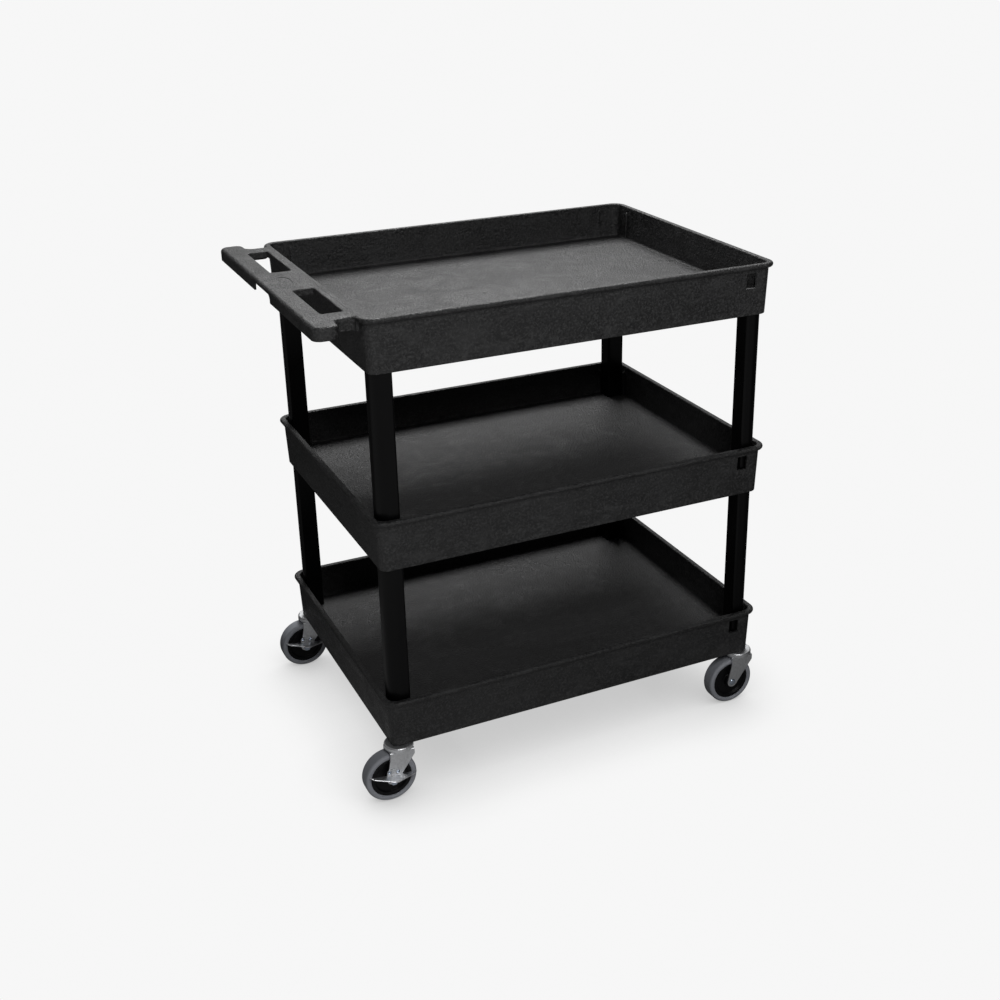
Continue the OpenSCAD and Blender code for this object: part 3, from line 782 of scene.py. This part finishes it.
AXLE_R = 0.004
SHIM = 0.0001
HEAD_R = 0.0068
HEAD_H = 0.0026
HEAD_DOME = ((0.0012, 1.0), (0.0036, 0.94), (0.0054, 0.74),
             (HEAD_R - 0.0003, 0.42), (HEAD_R, 0.2), (HEAD_R, 0.0))
NUT_H = 0.006
HEX_R = 0.00752
BOLT_TIP = 0.0025
THREAD_PITCH = 0.00125
WASHER_R = 0.0075
WASHER_T = 0.0012
RUN_GAP = 0.00004
THREAD_DEPTH = 0.00055
TAP_LEAD = 0.0009
PEDAL_T = 0.002

fastener_zinc = plated_steel("fastener_zinc", (0.66, 0.74, 0.86), 0.22, 0.00005)
pedal_out = fork_out + PEDAL_GAP + PEDAL_T
braked_nut_z = pedal_out + PEDAL_GAP + WASHER_T + SHIM


def bolt_mesh(nut_z):
    """Low domed head, plain shank, and thread turns where the end stands out of the nut."""
    seat = -fork_out - SHIM
    head = [(radius, seat - HEAD_H * rise) for radius, rise in HEAD_DOME]
    tip = nut_z + NUT_H + BOLT_TIP
    shank = [(AXLE_R, seat), (AXLE_R, nut_z + NUT_H - THREAD_PITCH)]
    z = nut_z + NUT_H - THREAD_PITCH * 0.5
    while z + THREAD_PITCH < tip:
        shank += [(AXLE_R - THREAD_DEPTH, z), (AXLE_R, z + THREAD_PITCH * 0.5)]
        z += THREAD_PITCH
    shank += [(AXLE_R - 0.0003, tip - 0.0006), (AXLE_R - 0.0010, tip)]
    return lathe("bolt", head + shank, closed=False, steps=48)


def nut_mesh(nut_z):
    """A hexagon with its outer corners turned off, and a tapped bore."""
    hexagon = disc(0, 0, HEX_R, nut_z, nut_z + NUT_H, 6)
    turned = [(HEX_R * 0.90, nut_z), (HEX_R + 0.0001, nut_z + 0.0006),
              (HEX_R + 0.0001, nut_z + NUT_H - 0.0009), (HEX_R * 0.86, nut_z + NUT_H)]
    mould(hexagon, [place("turned", lathe("turned", turned, closed=False, steps=72))], "INTERSECT")
    bore = [(AXLE_R + TAP_LEAD, nut_z - BITE), (AXLE_R + RUN_GAP, nut_z + 0.0006),
            (AXLE_R + RUN_GAP, nut_z + NUT_H - 0.0006), (AXLE_R + TAP_LEAD, nut_z + NUT_H + 0.0003)]
    mould(hexagon, [place("bore", lathe("bore", bore, closed=False, steps=48))], "DIFFERENCE")
    mesh = hexagon.data
    bpy.data.objects.remove(hexagon)
    return mesh


fastener_meshes = {z: (bolt_mesh(z), nut_mesh(z)) for z in (braked_nut_z, fork_out + SHIM)}
washer_low = pedal_out + PEDAL_GAP
washer_top = washer_low + WASHER_T
washer_profile = [(AXLE_R + RUN_GAP, washer_low), (WASHER_R - 0.0003, washer_low),
                  (WASHER_R, washer_low + 0.0003), (WASHER_R, washer_top - 0.0004),
                  (WASHER_R - 0.0005, washer_top), (AXLE_R + RUN_GAP, washer_top)]
washer_mesh = lathe("washer", washer_profile, steps=64)
for tag, (sx, sy) in CORNERS.items():
    braked = sx < 0
    meshes = fastener_meshes[braked_nut_z if braked else fork_out + SHIM]
    turn = Matrix() if braked else Matrix.Rotation(math.pi, 4, "X")
    at = Matrix.Translation(swivel[tag]) @ out_of_wheel @ turn
    rows = [("axle_bolt_end_", meshes[0], "axle_bolt_", "fastener_zinc", fastener_zinc),
            ("axle_hex_nut_", meshes[1], "axle_nut_", "fastener_zinc", fastener_zinc)]
    if braked:
        rows.append(("pedal_washer_", washer_mesh, "brake_washer_", "zinc_plate", plate_zinc))
    for name, mesh, node, slot, material in rows:
        piece = place(name + tag, mesh, at)
        finish_mesh(piece, material)
        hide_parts(node + tag)
        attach(piece, "caster_" + tag)


# ---------------------------------------------------------------- Brake pedals
# On the two casters under the handle a zinc-plated pedal turns on the axle: a
# plate against the fork, and riveted to it, just over the nut, a tread bent out
# into two thin wings whose tips turn up. At rest it leans towards the swivel.

PEDAL_HUB_R = 0.0085
PEDAL_RISE = HEX_R + 0.0007
PEDAL_REST = 7
PEDAL_NOSE = 0.023
PEDAL_WING = 0.006
PEDAL_HALF = wheel_r - 0.005
PLATE_HALF = 0.013
PLATE_TOP = PEDAL_RISE + 0.014
PLATE_R = 0.005
TIP_RISE = 0.0030
RIVET_X = 0.0085
RIVET_Y = PEDAL_RISE + 0.009
RIVET_R = 0.0036
RIVET_H = 0.0018
RIVET_EDGE = 0.0003
TIP_START = 0.92
UPTURN_START = 0.72
NOSE_BLUNT = 20.0
NOSE_DROOP = 0.0014
TREAD_STEPS = 90


def tread_edge(x):
    """How far the tread stands out at a distance along it: a blunt nose, then wings that thin out."""
    t = abs(x) / PEDAL_HALF
    flare = PEDAL_NOSE + RIVET_H - PEDAL_WING
    reach = PEDAL_WING + flare * (1 - t) ** 1.15
    if abs(x) < RIVET_X - 0.0005:
        reach = min(reach, PEDAL_NOSE - NOSE_BLUNT * max(0.0, abs(x) - BITE) ** 2)
    if t > TIP_START:
        past = (t - TIP_START) / (1 - TIP_START)
        reach = min(reach, PEDAL_WING * math.sqrt(max(0.02, 1 - past ** 2)))
    return reach


def pedal_tread(inner):
    """The winged tread, its front edge rolled and drooping a little, its tips turned up."""
    loops = []
    for x in (PEDAL_HALF * (2 * i / TREAD_STEPS - 1) for i in range(TREAD_STEPS + 1)):
        upturn = max(0.0, (abs(x) / PEDAL_HALF - UPTURN_START) / (1 - UPTURN_START))
        top, reach = PEDAL_RISE + PEDAL_T + TIP_RISE * upturn ** 2, tread_edge(x)
        droop = NOSE_DROOP * (reach / PEDAL_NOSE) ** 2
        middle, front, lip = inner + reach * 0.55, inner + reach, top - droop
        section = [(top, inner), (top - droop * 0.3, middle), (lip, front - 0.0005), (lip - 0.0005, front),
                   (lip - PEDAL_T + 0.0006, front), (lip - PEDAL_T, front - 0.0006),
                   (top - droop * 0.3 - PEDAL_T, middle), (top - PEDAL_T, inner)]
        loops.append([Vector((x, y, z)) for y, z in section])
    return place("tread", skin("tread", loops))


def pedal_plate(inner):
    """The flat plate, round at the axle and with two rounded upper corners."""
    side = arc((0, 0), PEDAL_HUB_R, 180, 360, 20)
    outline = [(-PLATE_HALF, BITE), (-PEDAL_HUB_R - 2 * BITE, 0.0)] + side[1:-1]
    outline += [(PEDAL_HUB_R + 2 * BITE, 0.0), (PLATE_HALF, BITE)]
    outline += arc((PLATE_HALF - PLATE_R, PLATE_TOP - PLATE_R), PLATE_R, 0, 90, 6)
    outline += arc((PLATE_R - PLATE_HALF, PLATE_TOP - PLATE_R), PLATE_R, 90, 180, 6)
    loops = [[Vector((x, y, z)) for x, y in outline] for z in (inner, pedal_out)]
    return place("plate", skin("plate", loops))


def rivet_profile():
    """A low domed head with a short upright edge, let a little into the plate."""
    edge, dome = pedal_out + RIVET_EDGE, RIVET_H - RIVET_EDGE
    turns = [math.radians(a) for a in (0, 20, 38, 54, 68, 80)]
    head = [(RIVET_R * math.cos(t), edge + dome * math.sin(t)) for t in turns]
    return [(RIVET_R, pedal_out - 2 * RIVET_EDGE)] + head


def pedal_mesh():
    inner = pedal_out - PEDAL_T
    pedal = mould(pedal_tread(inner), [pedal_plate(inner)])
    mould(pedal, [disc(0, 0, PIN_BORE_R, inner - BITE, pedal_out + BITE)], "DIFFERENCE")
    mesh = pedal.data
    bpy.data.objects.remove(pedal)
    return mesh


pedal_sheet = pedal_mesh()
rivet_mesh = lathe("rivet", rivet_profile(), closed=False, steps=40)
lean = Matrix.Rotation(math.radians(-PEDAL_REST), 4, "Z")
for tag in ("front_left", "back_left"):
    at = Matrix.Translation(swivel[tag]) @ out_of_wheel @ lean
    pedal = place("foot_pedal_" + tag, pedal_sheet, at)
    finish_mesh(pedal, plate_zinc)
    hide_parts("brake_pedal_" + tag)
    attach(pedal, "brake_" + tag)
    for side, x in (("left", -RIVET_X), ("right", RIVET_X)):
        rivet = place("pedal_rivet_%s_%s" % (side, tag), rivet_mesh,
                      at @ Matrix.Translation((x, RIVET_Y, 0)))
        finish_mesh(rivet, fastener_zinc)
        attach(rivet, "brake_" + tag)


# ---------------------------------------------------------------------- Studio
# A plain pale floor that runs out to a pale surround, with a painted shadow round
# the cart and a glow that lights the cart from below, a soft light above and
# behind the cart and a weaker one in front of it, and a camera above and to the
# left of the cart's long side.

FLOOR_HALF = 60.0
PAINTED_SHADOW_REACH = 0.22
FLOOR_BRIGHT_TOWARDS = (-0.62, -0.90, 0.0)
SKY_BRIGHT_TOWARDS = (0.27, 0.60, 0.75)
LIGHTS = (("overhead", (0.55, 1.40, 2.75), (1.2, 1.3), 64),
          ("front", (-0.3, -2.3, 2.5), (1.5, 1.2), 36))
LIT_POINT = Vector((0, 0, 0.8))
PALE = (0.930, 0.930, 0.930, 1)
PAINTED_SHADOW_TILT = (0.60, -0.46, 0.65)
CAMERA_FROM_TUB = (-1.06104, -2.32788)
CAMERA_Z = 1.57348
CAMERA_YAW = 0.452
CAMERA_PITCH = 0.408
CAMERA_ROLL = -0.010
CAMERA_LENS = 48.756
CAMERA_SHIFT = (-0.0458, -0.01935)

floor_mesh = bpy.data.meshes.new("studio_floor")
bm = bmesh.new()
bmesh.ops.create_grid(bm, x_segments=1, y_segments=1, size=FLOOR_HALF)
bm.to_mesh(floor_mesh)
bm.free()
studio_floor = place("studio_floor", floor_mesh)


def studio_paper():
    """White paper that glows evenly where the camera sees it, with a painted shadow round the cart from an
    occlusion node, and that glows as a dimmer hidden lamp, brighter towards the front left, in what it sheds
    on the cart.
    """
    material, shader, add, wire = new_material("studio_paper", 0.9)
    tree = material.node_tree
    tree.nodes.remove(shader)
    where = add("TexCoord").outputs["Object"]
    fleck = blotches(add, where, 3.0, 2.0)
    white = blend_colours(add, fleck, PALE, [c * 0.997 for c in PALE[:3]] + [1])
    # Painted shadow: an occlusion node dims the paper's glow near the cart. Its reach is tilted so the shade
    # falls mostly to the cart's left. The lamps cast no shadow that the camera sees here.
    painted_shadow = add("AmbientOcclusion", {"Distance": PAINTED_SHADOW_REACH, "Normal": PAINTED_SHADOW_TILT}, samples=24)
    painted_shadow_paper = add("Emission", {"Color": white, "Strength": span(add, painted_shadow.outputs["AO"], 0.10, 0.93, 0.40, 1.0)})
    # Painted light: for every ray but the camera's the paper glows, brighter towards the front left, and
    # lights the cart from below like a hidden lamp.
    ahead = add("VectorMath", {0: where, 1: FLOOR_BRIGHT_TOWARDS}, operation="DOT_PRODUCT")
    glow = span(add, ahead.outputs["Value"], -0.2, 1.3, 0.03, 0.52)
    dim = add("Emission", {"Color": white, "Strength": glow})
    seen = add("LightPath").outputs["Is Camera Ray"]
    whole = add("MixShader", {0: seen, 1: dim.outputs["Emission"], 2: painted_shadow_paper.outputs["Emission"]})
    tree.links.new(whole.outputs["Shader"], tree.nodes["Material Output"].inputs["Surface"])
    return material


floor_mesh.materials.append(studio_paper())


def studio_world():
    """Dim towards the front, bright high up and behind the cart, and pale where it is seen."""
    world = bpy.data.worlds.new("studio")
    world.use_nodes = True
    nodes, links = world.node_tree.nodes, world.node_tree.links
    way = nodes.new("ShaderNodeTexCoord")
    dot = nodes.new("ShaderNodeVectorMath")
    dot.operation = "DOT_PRODUCT"
    dot.inputs[1].default_value = Vector(SKY_BRIGHT_TOWARDS).normalized()
    links.new(way.outputs["Generated"], dot.inputs[0])
    glow = nodes.new("ShaderNodeMapRange")
    glow.interpolation_type = "SMOOTHSTEP"
    links.new(dot.outputs["Value"], glow.inputs["Value"])
    for key, value in (("From Min", 0.45), ("From Max", 0.98), ("To Min", 0.03), ("To Max", 0.40)):
        glow.inputs[key].default_value = value
    seen = nodes.new("ShaderNodeLightPath")
    which = nodes.new("ShaderNodeMix")
    links.new(seen.outputs["Is Camera Ray"], which.inputs[0])
    links.new(glow.outputs["Result"], which.inputs[2])
    which.inputs[3].default_value = 1.0
    backdrop = nodes["Background"]
    backdrop.inputs["Color"].default_value = PALE
    links.new(which.outputs[0], backdrop.inputs["Strength"])
    return world


bpy.context.scene.world = studio_world()
for name, at, size, power in LIGHTS:
    light = bpy.data.lights.new(name, "AREA")
    light.shape = "RECTANGLE"
    light.size, light.size_y = size
    light.energy = power
    lamp = place(name, light)
    lamp.location = at
    lamp.rotation_euler = (LIT_POINT - lamp.location).to_track_quat("-Z", "Y").to_euler()

camera = place("camera", bpy.data.cameras.new("camera"))
bpy.context.scene.camera = camera
camera.data.lens = CAMERA_LENS
camera.data.shift_x, camera.data.shift_y = CAMERA_SHIFT
camera_at = (tub_centre.x + CAMERA_FROM_TUB[0], tub_centre.y + CAMERA_FROM_TUB[1], CAMERA_Z)
camera.matrix_world = (Matrix.Translation(camera_at) @ Matrix.Rotation(-CAMERA_YAW, 4, "Z")
                       @ Matrix.Rotation(math.pi / 2 - CAMERA_PITCH, 4, "X")
                       @ Matrix.Rotation(CAMERA_ROLL, 4, "Z"))
bpy.context.scene.view_settings.view_transform = "Standard"

bpy.context.view_layer.update()
